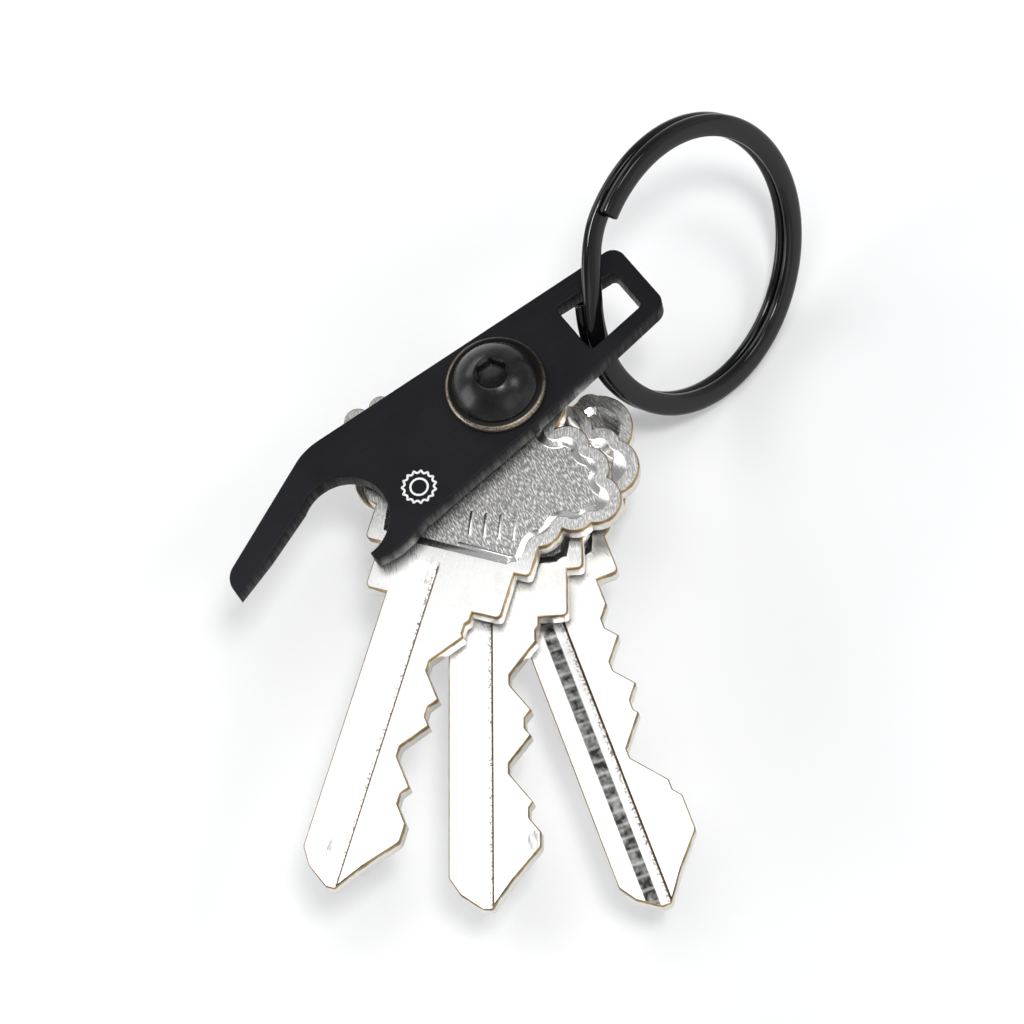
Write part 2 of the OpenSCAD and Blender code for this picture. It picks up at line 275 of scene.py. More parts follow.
def plain_steel():
    n = Nodes("plain_steel")
    grain = n.noise((1.0, 1.0, 8.0), detail=3.0)
    n.set(
        Base_Color=n.mix(grain, (0.42, 0.42, 0.41), (0.6, 0.59, 0.57)),
        Metallic=1.0,
        Roughness=n.ramp(grain, 0.3, 0.7, 0.24, 0.4),
        Normal=n.bump(grain, 0.004),
    )
    return n.material


def nickel(name, spec, heading, fleck, rough, dull=0.0, face=False):
    """Worn nickel plate: flecks along heading, scratches and stains; a face also gets painted shade in its
    groove's corner.
    """
    n = Nodes(name)
    flecks = n.noise((2.3, 9.0, 9.0), heading, detail=2.0, rough=0.5)
    fine = n.noise((0.9, 16.0, 16.0), heading + 8, detail=2.0)
    long = n.noise((0.06, 3.2, 3.2), heading - 21, detail=2.0)
    stain = n.noise(0.35, detail=4.0, rough=0.6)
    speckle = n.noise(4.5, detail=4.0, rough=0.7)
    brushed = n.noise((1.1, 5.0, 5.0), spec["angle"], detail=4.0, rough=0.6)
    scratch = n.ramp(long, 0.64, 0.70)
    turned = n.mapped((1 / MM,) * 3, turn=(0, 0, -spec["angle"]))
    split = n.tree.nodes.new("ShaderNodeSeparateXYZ")
    n.link(turned, split.inputs[0])
    along, across = split.outputs[0], n.math("SUBTRACT", split.outputs[1], spec["offset"])
    grey = n.ramp(along, 12.5, 15.5, 0.62, 0.0) if face else dull
    grey = n.math("MULTIPLY", grey, n.ramp(flecks, 0.47, 0.64, 1.0, 0.0))
    shade = n.math("ADD", grey, n.ramp(stain, 0.56, 0.74, 0.0, 0.2))
    colour = n.mix(shade, (0.93, 0.925, 0.91), (0.27, 0.265, 0.26))
    if face:
        # Painted shade: a dark brown line in the corner of the long groove, with speckled shade beside it
        begun = n.ramp(along, spec["neck"][0][0] + 0.5, spec["neck"][0][0] + 1.1)
        core = n.ramp(n.math("ABSOLUTE", n.math("ADD", across, 0.46)), 0.08, 0.14, 1.0, 0.0)
        halo = n.ramp(n.math("ABSOLUTE", n.math("ADD", across, 0.66)), 0.10, 0.30, 1.0, 0.0)
        halo = n.math("MULTIPLY", halo, n.ramp(speckle, 0.50, 0.58))
        groove_corner_shade = n.math("MULTIPLY", n.math("MAXIMUM", core, n.math("MULTIPLY", halo, 0.85)), begun)
        groove_corner_shade = n.math("MULTIPLY", groove_corner_shade, n.ramp(speckle, 0.30, 0.44, 0.6, 1.0))
        colour = n.mix(groove_corner_shade, colour, (0.07, 0.04, 0.012))
        for x, y, length, width in spec["stains"]:
            u = n.math("MULTIPLY", n.math("SUBTRACT", along, x), 1 / length)
            v = n.math("MULTIPLY", n.math("SUBTRACT", across, y), 1 / width)
            far = n.length(u, v)
            smear = n.ramp(brushed, 0.38, 0.62, 0.15, 1.0)
            dark = n.math("MULTIPLY", n.ramp(far, 0.2, 1.0, 0.75, 0.0), smear)
            colour = n.mix(dark, colour, (0.10, 0.10, 0.095))
    if face and "band" in spec:
        low, high = spec["band"]
        soft = 0.12
        near_side, far_side = n.ramp(across, low, low + soft), n.ramp(across, high - soft, high, 1.0, 0.0)
        inside = n.math("MULTIPLY", near_side, far_side)
        inside = n.math("MULTIPLY", inside, n.ramp(along, 16.6, 18.0))
        ticks = n.ramp(n.math("SINE", n.math("MULTIPLY", along, 5.2)), 0.55, 1.0, 1.0, 0.78)
        blotch = n.ramp(n.noise(1.6, detail=3.0), 0.3, 0.62, 0.7, 1.0)
        dark = n.math("MULTIPLY", n.math("MULTIPLY", inside, ticks), blotch)
        colour = n.mix(dark, colour, (0.03, 0.03, 0.028))
    height = n.math("ADD", n.math("MULTIPLY", flecks, fleck), n.math("MULTIPLY", fine, 0.1))
    height = n.math("SUBTRACT", height, n.math("MULTIPLY", scratch, 0.4))
    n.set(
        Base_Color=colour,
        Metallic=1.0,
        Roughness=n.ramp(fine, 0.3, 0.7, *rough),
        Normal=n.bump(height, 0.012, 0.8),
    )
    return n.material


def key_wall(name, top):
    """Brass that shows along the front edge of a key; the rest of the wall keeps its nickel."""
    n = Nodes(name)
    cutter = n.noise((2.4, 2.4, 0.3), detail=2.0)
    stain = n.noise(0.8, detail=3.0)
    height = n.math("SUBTRACT", n.xyz()[2], top - 0.52)
    height = n.math("ADD", height, n.ramp(stain, 0.3, 0.7, -0.25, 0.25))
    brass = n.mix(n.ramp(stain, 0.35, 0.68), (0.38, 0.27, 0.13), (0.20, 0.14, 0.07))
    n.set(
        Base_Color=n.mix(n.ramp(height, -0.08, 0.08), (0.72, 0.70, 0.66), brass),
        Metallic=1.0,
        Roughness=n.ramp(cutter, 0.3, 0.7, 0.28, 0.45),
        Normal=n.bump(cutter, 0.012, 0.7),
    )
    return n.material


def nylon():
    n = Nodes("nylon_blue")
    grain = n.noise(3.0)
    n.set(
        Base_Color=n.mix(grain, (0.02, 0.05, 0.16), (0.03, 0.075, 0.22)),
        Roughness=0.45,
        Normal=n.bump(grain, 0.01, 0.4),
    )
    return n.material


def ring_gloss():
    n = Nodes("ring_gloss")
    swell = n.noise(0.5, detail=2.0)
    dust = n.noise(5.0, detail=4.0)
    n.set(
        Base_Color=(0.0045, 0.0045, 0.005),
        Metallic=0.0,
        Roughness=n.ramp(dust, 0.35, 0.8, 0.08, 0.16),
        Specular_IOR_Level=0.32,
        Normal=n.bump(swell, 0.02, 0.35),
    )
    return n.material


# ---------------------------------------------------------------- mesh helpers
def corner_normals(bm, flat):
    """One normal per face corner: smooth up to sharp edges, where flat faces decide their rim."""
    found = {}
    for vert in bm.verts:
        left = {loop.face: loop for loop in vert.link_loops}
        while left:
            fan, stack = [], [left.popitem()]
            while stack:
                face, loop = stack.pop()
                fan.append(loop)
                for edge in (loop.edge, loop.link_loop_prev.edge):
                    if edge.smooth:
                        for other in edge.link_faces:
                            if other in left:
                                stack.append((other, left.pop(other)))
            lead = [loop for loop in fan if loop.face[flat]]
            total = Vector()
            for loop in lead or fan:
                weight = loop.face.calc_area() if lead else loop.calc_angle()
                total += loop.face.normal * weight
            if total.length < 1e-12:
                total = fan[0].face.normal.copy()
            total.normalize()
            for loop in fan:
                found[loop] = total
    return [found[loop] for face in bm.faces for loop in face.loops]


def make_piece(name, shell, body, node, materials, sharp=35.0, weld=0.0008, turn=Matrix()):
    """A piece from a shell in millimetres: welded, and shaded smooth up to sharp degrees."""
    mesh = bpy.data.meshes.new(name)
    mesh.from_pydata([tuple(turn @ Vector(v) * MM) for v in shell.verts], [], shell.faces)
    for material in materials:
        mesh.materials.append(material)
    mesh.polygons.foreach_set("material_index", shell.kinds)
    mesh.update()
    bm = bmesh.new()
    bm.from_mesh(mesh)
    flat = bm.faces.layers.int.new("flat")
    bm.faces.ensure_lookup_table()
    for i in shell.flat:
        bm.faces[i][flat] = 1
    bmesh.ops.remove_doubles(bm, verts=bm.verts, dist=weld * MM)
    bmesh.ops.dissolve_degenerate(bm, dist=weld * 0.2 * MM, edges=bm.edges)
    bmesh.ops.recalc_face_normals(bm, faces=bm.faces)
    loose = [v for v in bm.verts if not v.link_faces]
    bmesh.ops.delete(bm, geom=loose, context="VERTS")
    for face in bm.faces:
        face.smooth = True
    limit = math.radians(sharp)
    for edge in bm.edges:
        if len(edge.link_faces) == 2 and edge.calc_face_angle(0.0) > limit:
            edge.smooth = False
    normals = corner_normals(bm, flat)
    bm.faces.layers.int.remove(flat)
    bm.to_mesh(mesh)
    bm.free()
    mesh.normals_split_custom_set(normals)
    piece = bpy.data.objects.new(name, mesh)
    bpy.context.scene.collection.objects.link(piece)
    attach(piece, body)
    if node is not None:
        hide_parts(node)
    return piece


def circle(x, y, r, count=96, start=0.0, end=360.0):
    whole = abs(end - start) >= 360.0
    steps = count if whole else count + 1
    angles = [math.radians(start + (end - start) * i / count) for i in range(steps)]
    return [(x + r * math.cos(a), y + r * math.sin(a)) for a in angles]


def regions(shapes, keep):
    """Triangles of the plane, cut by all shapes, whose set of surrounding shapes satisfies keep."""
    names, points, faces = list(shapes), [], []
    for name in names:
        base, loop = len(points), shapes[name]
        # The triangulation wants every outline anticlockwise
        points += [Vector(p) for p in (loop if area(loop) > 0 else loop[::-1])]
        faces.append(list(range(base, len(points))))
    verts, _, tris, _, _, origin = delaunay_2d_cdt(points, [], faces, 1, 1e-7)
    chosen = [t for t, o in zip(tris, origin) if keep({names[i] for i in o})]
    return [(v.x, v.y) for v in verts], chosen


def outlines(verts, tris):
    """Closed boundary loops of a set of triangles, with the material on the left."""
    edges = set()
    for a, b, c in tris:
        for e in ((a, b), (b, c), (c, a)):
            if (e[1], e[0]) in edges:
                edges.remove((e[1], e[0]))
            else:
                edges.add(e)
    following = {}
    for a, b in edges:
        following.setdefault(a, []).append(b)
    loops = []
    while following:
        start = min(following)
        loop, at = [start], following[start].pop()
        if not following[start]:
            del following[start]
        while at != start:
            loop.append(at)
            ahead = following[at].pop()
            if not following[at]:
                del following[at]
            at = ahead
        loops.append(tidy([verts[i] for i in loop]))
    return sorted(loops, key=lambda l: -abs(area(l)))


def tidy(loop, least=0.012):
    """The loop without points that crowd their neighbour."""
    kept = [loop[0]]
    for p in loop[1:]:
        if math.dist(p, kept[-1]) > least:
            kept.append(p)
    while len(kept) > 3 and math.dist(kept[0], kept[-1]) <= least:
        kept.pop()
    return kept


def area(loop):
    p = np.array(loop)
    q = np.roll(p, -1, axis=0)
    return 0.5 * float((p[:, 0] * q[:, 1] - q[:, 0] * p[:, 1]).sum())


def inset(loop, distance):
    """The loop moved toward its left by distance, with mitred corners."""
    p = np.array(loop)
    ahead, behind = np.roll(p, -1, axis=0) - p, p - np.roll(p, 1, axis=0)
    ahead /= np.linalg.norm(ahead, axis=1)[:, None]
    behind /= np.linalg.norm(behind, axis=1)[:, None]
    n1 = np.stack([-behind[:, 1], behind[:, 0]], 1)
    n2 = np.stack([-ahead[:, 1], ahead[:, 0]], 1)
    bisector = n1 + n2
    bisector /= np.maximum(np.linalg.norm(bisector, axis=1), 1e-6)[:, None]
    stretch = 1.0 / np.maximum((bisector * n1).sum(1), 0.55)
    return [tuple(q) for q in p + bisector * (distance * stretch)[:, None]]


def rounded(corners, radii, steps=14):
    """A polygon whose corners are replaced with arcs of the given radii, where above 0."""
    made = []
    count = len(corners)
    for i, r in enumerate(radii):
        p = np.array(corners[i])
        if r <= 0:
            made.append(tuple(p))
            continue
        u = np.array(corners[i - 1]) - p
        v = np.array(corners[(i + 1) % count]) - p
        u, v = u / np.linalg.norm(u), v / np.linalg.norm(v)
        half = math.acos(float(u @ v)) / 2
        centre = p + (u + v) / np.linalg.norm(u + v) * r / math.sin(half)
        a = p + u * r / math.tan(half) - centre
        b = p + v * r / math.tan(half) - centre
        turn = math.acos(float(a @ b) / r**2)
        for k in range(steps + 1):
            s = k / steps
            q = (math.sin((1 - s) * turn) * a + math.sin(s * turn) * b) / math.sin(turn)
            made.append(tuple(centre + q))
    return made


class Shell:
    """Vertices and faces that grow ring by ring; each face keeps a material index."""

    def __init__(self):
        self.verts, self.faces, self.kinds, self.flat = [], [], [], []

    def band(self, lower, upper, kind=0):
        """Quads between two closed loops of 3-D points with equal counts."""
        count, base = len(lower), len(self.verts)
        self.verts += list(lower) + list(upper)
        for i in range(count):
            j = (i + 1) % count
            self.faces.append((base + i, base + j, base + count + j, base + count + i))
            self.kinds.append(kind)

    def fan(self, loop, tip):
        """Triangles from a closed loop to one point."""
        count, base = len(loop), len(self.verts)
        self.verts += [*loop, tip]
        for i in range(count):
            self.faces.append((base + i, base + (i + 1) % count, base + count))
            self.kinds.append(0)

    def cap(self, loop):
        """One face over a closed loop."""
        base = len(self.verts)
        self.verts += loop
        self.faces.append(tuple(range(base, base + len(loop))))
        self.kinds.append(0)

    def fill(self, points, tris, kind=0, flat=True):
        base = len(self.verts)
        self.verts += list(points)
        for t in tris:
            if flat:
                self.flat.append(len(self.faces))
            self.faces.append(tuple(base + i for i in t))
            self.kinds.append(kind)


def edge_steps(radius, count=3):
    """(inset, drop) pairs of a rounded edge, from the wall to the face."""
    for i in range(count + 1):
        a = math.pi / 2 * i / count
        yield radius * (1 - math.cos(a)), radius * (1 - math.sin(a))


def slab(shell, loops, bottom, top, edge, wall_kind=1, face_kind=0):
    """A flat plate with rounded edges: loops[0] is the outside, the others are holes."""
    rings = [(d, bottom + drop) for d, drop in reversed(list(edge_steps(edge)))]
    rings += [(d, top - drop) for d, drop in edge_steps(edge)]
    faces = {"outer": inset(loops[0], edge)}
    for i, loop in enumerate(loops[1:]):
        faces[f"hole_{i}"] = inset(loop, edge)
    for loop in loops:
        stack = [[(x, y, z) for x, y in inset(loop, d)] for d, z in rings]
        middle = len(stack) // 2
        for i in range(len(stack) - 1):
            shell.band(stack[i], stack[i + 1], wall_kind if i == middle - 1 else face_kind)
    points, tris = regions(faces, lambda s: s == {"outer"})
    for z in (bottom, top):
        shell.fill([(x, y, z) for x, y in points], tris, face_kind)


def lathe(profile, count=128, closed=True):
    """A profile of (r, z) turned round the Z axis."""
    shell = Shell()
    rings = [[(x, y, z) for x, y in circle(0, 0, r, count)] for r, z in profile]
    for low, high in zip(rings, rings[1:] + rings[:1] if closed else rings[1:]):
        shell.band(low, high)
    return shell


def turned_disc(r_in, r_out, z0, z1, edge=0.08):
    """Closed profile of a washer or sleeve with rounded outer edges."""
    profile = [(r_in + edge * 0.5, z0)]
    for d, drop in reversed(list(edge_steps(edge))):
        profile.append((r_out - d, z0 + drop))
    for d, drop in edge_steps(edge):
        profile.append((r_out - d, z1 - drop))
    profile += [(r_in + edge * 0.5, z1), (r_in, z1 - edge * 0.5), (r_in, z0 + edge * 0.5)]
    return profile


# ---------------------------------------------------------------- opener plate
def upper_edge(x):
    return 5.15 - 0.064 * x


def lower_edge(x):
    return -5.15 + (0.11 if x > 0 else 0.071) * x


def build_plate(materials):
    reach, back, slope = 29.05, 17.75, math.tan(math.radians(23.9))
    tip_y = upper_edge(-back) - 12.45 * slope
    shoulder_x = -(reach * slope - 5.15 + tip_y) / (slope + 0.064)
    body = rounded(
        [
            (16.35, upper_edge(16.35)), (shoulder_x, upper_edge(shoulder_x)), (-reach, tip_y),
            (-reach, -2.0), (-back, -2.0), (-12.0, lower_edge(-12.0)), (0.0, lower_edge(0.0)),
            (16.35, lower_edge(16.35)),
        ],
        [1.3, 6.0, 1.9, 0, 0, 0, 0, 1.3],
        20,
    )
    tooth_x = -back + 2.35
    tooth_low = -lower_edge(tooth_x) + 0.36
    slot = rounded([(8.5, 2.65), (14.6, 2.05), (14.6, -2.05), (8.5, -2.65)], [0.45] * 4, 8)
    nick_r = 0.6
    side, foot = np.array([-back, -6.38]), np.array([1.0, -0.31]) / math.hypot(1.0, 0.31)
    u, v = np.array([0.0, 1.0]), foot
    half = math.acos(float(u @ v)) / 2
    nick_c = side + (u + v) / np.linalg.norm(u + v) * nick_r / math.sin(half)
    wedge = [
        tuple(side - (u + v) / np.linalg.norm(u + v) * nick_r), tuple(side + u * nick_r / math.tan(half)),
        tuple(nick_c), tuple(side + v * nick_r / math.tan(half)),
    ]
    shapes = {
        "body": body,
        "tooth": circle(tooth_x, 8.0 - tooth_low, 8.0, 240),
        "tooth_box": [(-back, -2), (-back, -9), (-11, -9), (-11, -2)],
        "mouth": circle(-back, -1.45, 4.0, 160),
        "gap": [
            (-back, -8), (-back, 2.53), (-18.5, 2.4), (-24.95, 0.02), (-reach, -1.2),
            (-reach - 3, -2.1), (-reach - 3, -8),
        ],
        "slot": slot,
        "hole": circle(0, 0, 2.15, 64),
        "wedge": wedge,
        "nick": circle(*nick_c, nick_r, 64),
    }

    def keep(s):
        solid = "body" in s or {"tooth", "tooth_box"} <= s
        cut = {"mouth", "gap", "slot", "hole"} & s or ("wedge" in s and "nick" not in s)
        return bool(solid and not cut)

    loops = outlines(*regions(shapes, keep))
    loops = [loop for loop in loops if abs(area(loop)) > 0.5]
    shell = Shell()
    slab(shell, loops, PLATE_BOTTOM, PLATE_TOP, 0.16)
    make_piece("opener_plate_body", shell, "opener", "opener_plate", materials, sharp=40.0)


def build_emblem(material):
    """A generic crown cap, etched: a ring of pleats round a plain circle."""
    cx, cy, z, rise = -10.87, -3.26, PLATE_TOP + 0.002, 0.01
    pleats, outer, width = 15, 1.62, 0.19
    edge = []
    pleat, disc_r = 0.11, 0.86
    for i in range(pleats * 12):
        a = math.tau * i / (pleats * 12)
        r = outer - pleat + pleat * math.cos(pleats * a)
        edge.append((cx + r * math.cos(a), cy + r * math.sin(a)))
    shell = Shell()
    strokes = [(edge, inset(edge, width)), (circle(cx, cy, disc_r, 96), circle(cx, cy, disc_r - width, 96))]
    for outside, inside in strokes:
        levels = [[(x, y, h) for x, y in loop] for loop, h in
                  ((outside, z), (outside, z + rise), (inside, z + rise), (inside, z))]
        for i in range(4):
            shell.band(levels[i], levels[(i + 1) % 4])
    make_piece("emblem", shell, "opener", None, [material])


# ---------------------------------------------------------------- pivot hardware
def build_screw(material):
    # The dome is an arc whose centre lies on the axis, through the head's edge and its flat
    centre_z = (HEAD_R**2 + HEAD_EDGE**2 - HEAD_FLAT_R**2 - HEAD_H**2) / (2 * (HEAD_EDGE - HEAD_H))
    dome_r = math.hypot(HEAD_R, HEAD_EDGE - centre_z)
    a0 = math.atan2(HEAD_EDGE - centre_z, HEAD_R)
    a1 = math.atan2(HEAD_H - centre_z, HEAD_FLAT_R)
    arc = []
    for i in range(25):
        a = a0 + (a1 - a0) * i / 24
        arc.append((dome_r * math.cos(a), WASHER_TOP + centre_z + dome_r * math.sin(a)))
    profile = [(SCREW_R, WASHER_TOP), (HEAD_R - 0.06, WASHER_TOP), (HEAD_R, WASHER_TOP + 0.06)] + arc
    profile += [(HEAD_FLAT_R - 0.05, HEAD_TOP)]
    count = 144
    shell = lathe(profile, count, closed=False)

    def hexagon(z):
        points = []
        for i in range(count):
            a = math.tau * i / count
            within = (math.degrees(a) % 60.0) - 30.0
            r = (SOCKET_AF / 2) / math.cos(math.radians(within))
            points.append((r * math.cos(a), r * math.sin(a), z))
        return points

    rim = [(x, y, HEAD_TOP) for x, y in circle(0, 0, HEAD_FLAT_R - 0.05, count)]
    cone = [(x, y, HEAD_TOP - 0.06) for x, y in circle(0, 0, HEAD_FLAT_R - 0.1, count)]
    wall_z, floor_z = HEAD_TOP - 0.22, HEAD_TOP - SOCKET_DEPTH
    drill = [(x, y, floor_z) for x, y in circle(0, 0, 0.9, count)]
    shell.band(rim, cone)
    shell.band(cone, hexagon(wall_z))
    shell.band(hexagon(wall_z), hexagon(floor_z))
    shell.band(hexagon(floor_z), drill)
    shell.fan(drill, (0, 0, floor_z - 0.3))
    # The shank, with a real thread on the stretch that shows below the nut
    rows, thread_top, steps = [], 4.2, 78
    crest = SCREW_R - 0.02
    for k in range(steps + 1):
        z = thread_top * k / steps
        row = []
        for i in range(count):
            turn = (z / SCREW_PITCH - i / count) % 1.0
            wave = min(1.0, max(0.0, 1.25 * (abs(turn * 2 - 1) - 0.1)))
            # The tail is chamfered
            r = min(crest - THREAD_DEPTH * (1 - wave), 1.42 + z * 1.05)
            row.append((r * math.cos(math.tau * i / count), r * math.sin(math.tau * i / count), z))
        rows.append(row)
    for z in (thread_top + 0.05, WASHER_TOP):
        rows.append([(x, y, z) for x, y in circle(0, 0, crest, count)])
    for low, high in zip(rows, rows[1:]):
        shell.band(low, high)
    shell.fan(rows[0], (0.0, 0.0, 0.0))
    make_piece("pivot_screw", shell, "opener", "button_screw", [material], sharp=32.0)


def build_nut(material):
    count, flat = 144, NUT_AF / 2
    low, high = NUT_BOTTOM + COLLAR_H, NUT_TOP

    def hex_row(z_of):
        row = []
        for i in range(count):
            within = (360.0 * i / count % 60.0) - 30.0
            r = flat / math.cos(math.radians(within))
            row.append((r * math.cos(math.tau * i / count), r * math.sin(math.tau * i / count), z_of(r)))
        return row

    fall = 0.35 / 0.6
    bore = SCREW_R + 0.02
    rings = [[(x, y, z) for x, y in circle(0, 0, r, count)] for r, z in (
        (bore, NUT_BOTTOM + 1.35),
        (INSERT_R + 0.01, NUT_BOTTOM + 1.3), (INSERT_R + 0.01, NUT_BOTTOM + 0.25),
        (INSERT_R - 0.2, NUT_BOTTOM + 0.16), (INSERT_R - 0.17, NUT_BOTTOM + 0.03), (INSERT_R, NUT_BOTTOM),
        (COLLAR_R - 0.35, NUT_BOTTOM + 0.03), (COLLAR_R - 0.12, NUT_BOTTOM + 0.2),
        (COLLAR_R, NUT_BOTTOM + 0.5),
        (COLLAR_R, low - 0.12), (COLLAR_R + 0.1, low), (flat - 0.03, low),
    )]
    rings.append(hex_row(lambda r: low + (r - flat) * fall + 0.02))
    rings.append(hex_row(lambda r: high - (r - flat) * fall - 0.02))
    rings += [[(x, y, z) for x, y in circle(0, 0, r, count)] for r, z in (
        (flat - 0.03, high), (bore + 0.25, high), (bore, high - 0.25),
    )]
    shell = Shell()
    for a, b in zip(rings, rings[1:] + rings[:1]):
        shell.band(a, b)
    make_piece("lock_nut_body", shell, "opener", "lock_nut", [material], sharp=28.0)


# ---------------------------------------------------------------- keys
def blade_points(key):
    reach = key["reach"]
    back, teeth = -BLADE_H / 2 - 0.3, BLADE_H / 2 - 0.3
    return [
        (16.0, back), (reach - 2.8, back), (reach - 1.3, back + 1.0), (reach, back + 2.9),
        (reach, back + 3.7), (reach - 2.6, back + 5.6), (reach - 5.2, teeth), (16.0, teeth),
    ]


def cut_points(key):
    teeth, cuts = BLADE_H / 2 - 0.3, []
    for i, depth in enumerate(key["cuts"]):
        x, half = 21.4 + 3.95 * i, 0.45
        flare = half + (depth + 1) * 1.25
        cuts.append([
            (x - half, teeth - depth), (x + half, teeth - depth),
            (x + flare, teeth + 1), (x - flare, teeth + 1),
        ])
    return cuts


def head_shapes(key):
    front, back = key["front"], key.get("back", key["front"])
    shapes = {"boss": circle(0, 0, BOSS_R, 96)}
    for side, lobes in ((1, front), (-1, back)):
        for i, (x, y, r) in enumerate(lobes):
            shapes[f"lobe_{side}_{i}"] = circle(x, side * y, r, 72)
    shapes["web"] = [(x, y) for x, y, _ in front] + [(x, -y) for x, y, _ in reversed(back)]
    return shapes


def drawn_in(outline, distance):
    """The points distance inside an outline, in order: arcs round its notches, trimmed elsewhere."""
    p = np.array(outline)
    ahead = np.roll(p, -1, axis=0) - p
    length = np.linalg.norm(ahead, axis=1)
    angles = np.arctan2(ahead[:, 1], ahead[:, 0])
    found = []
    for i in range(len(p)):
        before = angles[i - 1]
        turn = (angles[i] - before + math.pi) % math.tau - math.pi
        steps = max(1, math.ceil(abs(turn) / 0.12)) if turn < 0 else 1
        for k in range(steps + 1):
            a = before + turn * k / steps + math.pi / 2
            found.append(p[i] + distance * np.array([math.cos(a), math.sin(a)]))
    kept = []
    for q in found:
        along = np.clip(((q - p) * ahead).sum(1) / length**2, 0, 1)
        if np.linalg.norm(p + ahead * along[:, None] - q, axis=1).min() > distance - 0.004:
            kept.append(tuple(q))
    return tidy(kept, 0.03)


def panel_outline(outline, distance):
    """The edge of a head's sunk panel, distance inside the key's outline."""
    end = 14.6 + RIM_W - distance
    shapes = {
        "whole": drawn_in(outline, distance),
        "limit": [(-10, -15), (end, -15), (end, 15), (-10, 15)],
    }
    return tidy(outlines(*regions(shapes, lambda s: len(s) == 2))[0], 0.03)


def build_key(name, materials):
    key = KEYS[name]
    groove_at = key["neck"][0][0] + 0.7
    wall_y, fade_y, wall_depth, ramp = -0.45, -2.6, 0.3, 1.6

    def depth(x, y):
        if not fade_y < y <= wall_y + 1e-6:
            return 0.0
        start = min(1.0, max(0.0, (x - groove_at) / ramp))
        return wall_depth * (y - fade_y) / (wall_y - fade_y) * start * start * (3 - 2 * start)

    shapes = head_shapes(key)
    for i, (end, half) in enumerate(key["neck"]):
        corners = [(end, half), (9, half), (9, -half), (end, -half)]
        shapes[f"neck_{i}"] = rounded(corners, [0.5, 0, 0, 0.5], 6)
    shapes["blade"] = rounded(blade_points(key), [0, 0.6, 0.8, 0.35, 0.35, 0.8, 0.7, 0], 5)
    for i, cut in enumerate(cut_points(key)):
        shapes[f"cut_{i}"] = rounded(cut, [0.2, 0.2, 0, 0], 4)
    reach = key["reach"] + 1.0
    # Only lines along the groove, so that the outline gets corners where it crosses them
    shapes["groove_a"] = [(groove_at, fade_y), (reach, fade_y), (reach, wall_y), (groove_at, wall_y)]
    lip_y = wall_y + 0.04
    shapes["groove_b"] = [(groove_at, wall_y), (reach, wall_y), (reach, lip_y), (groove_at, lip_y)]

    def keep(s):
        solid = any(k.startswith(("boss", "lobe", "web", "neck", "blade")) for k in s)
        blade_only = not any(k.startswith(("boss", "lobe", "web", "neck")) for k in s)
        return solid and not (blade_only and any(k.startswith("cut") for k in s))

    outline = outlines(*regions(shapes, keep))[0]
    # The sunk panel's edge falls in three bands, each between two outlines and two depths
    falls = [(-0.30, 0.0), (-0.18, 0.03), (0.35, 0.27), (0.47, PANEL_DEPTH)]
    levels = [panel_outline(outline, RIM_W + grow) for grow, _ in falls]
    panel, foot = levels[0], levels[-1]
    hub, hub_foot = circle(0, -key["offset"], HUB_R - 0.12, 96), circle(0, -key["offset"], HUB_R + 0.2, 96)
    bore = circle(0, -key["offset"], KEY_HOLE_R, 96)
    bore.reverse()

    shell = Shell()
    edge, top = 0.11, KEY_T
    bottom_rings = [(d, drop) for d, drop in reversed(list(edge_steps(edge, 2)))]
    stack = [[(x, y, z) for x, y in inset(outline, d)] for d, z in bottom_rings]
    for d, drop in edge_steps(edge, 2):
        stack.append([(x, y, top - drop - depth(x, y)) for x, y in inset(outline, d)])
    for i in range(len(stack) - 1):
        shell.band(stack[i], stack[i + 1], 1)
    # Cap with the rim, and the grooves as a height field over constraint lines
    cap = {"outer": inset(outline, edge), "panel": panel}
    cap["groove_a"], cap["groove_b"] = shapes["groove_a"], shapes["groove_b"]
    for i in range(4):
        x = groove_at + ramp * (i + 1) / 4
        cap[f"ramp_{i}"] = [(x, fade_y), (x + 0.01, fade_y), (x + 0.01, wall_y), (x, wall_y)]
    points, tris = regions(cap, lambda s: "outer" in s and "panel" not in s)
    shell.fill([(x, y, top - depth(x, y)) for x, y in points], tris, 0)
    # The back of the blade is left flat
    points, tris = regions({"outer": inset(outline, edge), "panel": panel}, lambda s: s == {"outer"})
    shell.fill([(x, y, 0.0) for x, y in points], tris, 0)
    for face, inward in ((top, -PANEL_DEPTH), (0.0, PANEL_DEPTH)):
        sign = inward / PANEL_DEPTH
        for (_, high), (_, low), outside, inside in zip(falls, falls[1:], levels, levels[1:]):
            points, tris = regions({"a": outside, "b": inside}, lambda s: s == {"a"})
            rim = {(round(x, 5), round(y, 5)) for x, y in outside}
            drops = [high if (round(x, 5), round(y, 5)) in rim else low for x, y in points]
            points = [(x, y, face + sign * drop) for (x, y), drop in zip(points, drops)]
            shell.fill(points, tris, 2, flat=False)
        points, tris = regions({"foot": foot, "hub": hub_foot}, lambda s: s == {"foot"})
        shell.fill([(x, y, face + inward) for x, y in points], tris, 3)
        shell.band([(x, y, face + inward) for x, y in hub_foot], [(x, y, face) for x, y in hub], 2)
        points, tris = regions({"hub": hub, "bore": bore}, lambda s: s == {"hub"})
        shell.fill([(x, y, face) for x, y in points], tris, 0)
    shell.band([(x, y, 0.0) for x, y in bore], [(x, y, top) for x, y in bore], 1)

    turn = (
        Matrix.Translation((0, 0, key["z"]))
        @ Matrix.Rotation(math.radians(key["angle"]), 4, "Z")
        @ Matrix.Translation((0, key["offset"], 0))
    )
    make_piece(f"{name}_blank", shell, key["body"], name, materials, 46.0, 0.004, turn)
    return turn


